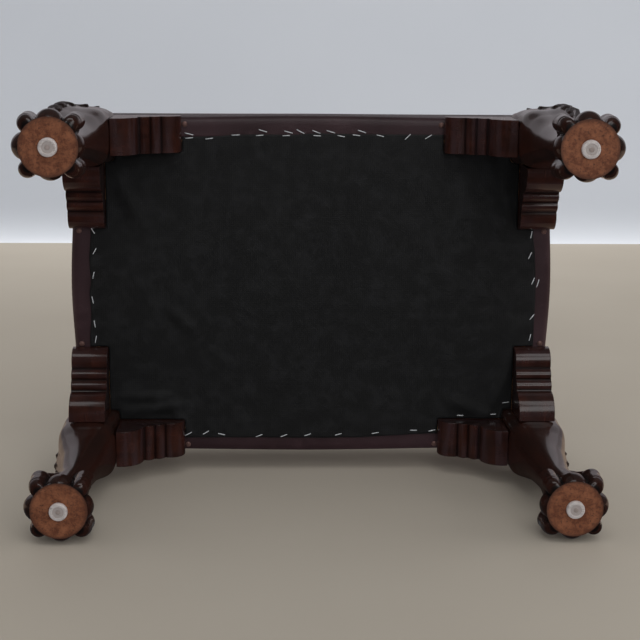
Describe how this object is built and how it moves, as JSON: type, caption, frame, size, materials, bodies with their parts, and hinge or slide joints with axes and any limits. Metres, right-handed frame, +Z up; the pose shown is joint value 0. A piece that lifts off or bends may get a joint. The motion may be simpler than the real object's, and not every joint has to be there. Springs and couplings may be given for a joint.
{
  "type": "ottoman",
  "caption": "Low upholstered leather ottoman on carved cabriole legs with ball-and-claw feet, moulded corner brackets and a black cloth closing the seat from below.",
  "frame": {"origin": "on the floor, under the middle of the seat", "axes": "+Z up, +X along the seat's long sides towards the right end, +Y towards the back"},
  "size_m": [0.661, 0.486, 0.4291],
  "materials": {
    "mahogany": "high gloss",
    "leather": "semi-gloss",
    "beech": "planed, unfinished",
    "jute": "woven",
    "cotton": "felted",
    "foam": "open cell",
    "black_cambric": "plain weave",
    "steel": "zinc plated",
    "bronze": "antiqued",
    "nylon": "moulded"
  },
  "bodies": {
    "root": {"leg_back_right": "mahogany", "leg_back_left": "mahogany", "leg_front_left": "mahogany", "leg_front_right": "mahogany", "long_bracket_back_right": "mahogany", "long_bracket_back_left": "mahogany", "long_bracket_front_left": "mahogany", "long_bracket_front_right": "mahogany", "short_bracket_back_right": "mahogany", "short_bracket_back_left": "mahogany", "short_bracket_front_left": "mahogany", "short_bracket_front_right": "mahogany", "leather_boxing": "leather", "leather_top": "leather", "top_welt": "leather", "back_rail": "beech", "front_rail": "beech", "left_rail": "beech", "right_rail": "beech", "corner_block_back_right": "beech", "corner_block_back_left": "beech", "corner_block_front_left": "beech", "corner_block_front_right": "beech", "long_strap_front": "jute", "long_strap_back": "jute", "cross_strap_left": "jute", "cross_strap_middle": "jute", "cross_strap_right": "jute", "hessian": "jute", "cotton_wadding": "cotton", "seat_foam": "foam", "dust_cover": "black_cambric", "glide_nail_back_right": "steel", "glide_nail_back_left": "steel", "glide_nail_front_left": "steel", "glide_nail_front_right": "steel", "leg_bolt_back_right": "steel", "leg_bolt_back_left": "steel", "leg_bolt_front_left": "steel", "leg_bolt_front_right": "steel", "leg_nut_back_right": "steel", "leg_nut_back_left": "steel", "leg_nut_front_left": "steel", "leg_nut_front_right": "steel", "long_tack_back_right": "bronze", "long_tack_back_left": "bronze", "long_tack_front_left": "bronze", "long_tack_front_right": "bronze", "short_tack_back_right": "bronze", "short_tack_back_left": "bronze", "short_tack_front_left": "bronze", "short_tack_front_right": "bronze", "glide_back_right": "nylon", "glide_back_left": "nylon", "glide_front_left": "nylon", "glide_front_right": "nylon"}
  },
  "joints": []
}
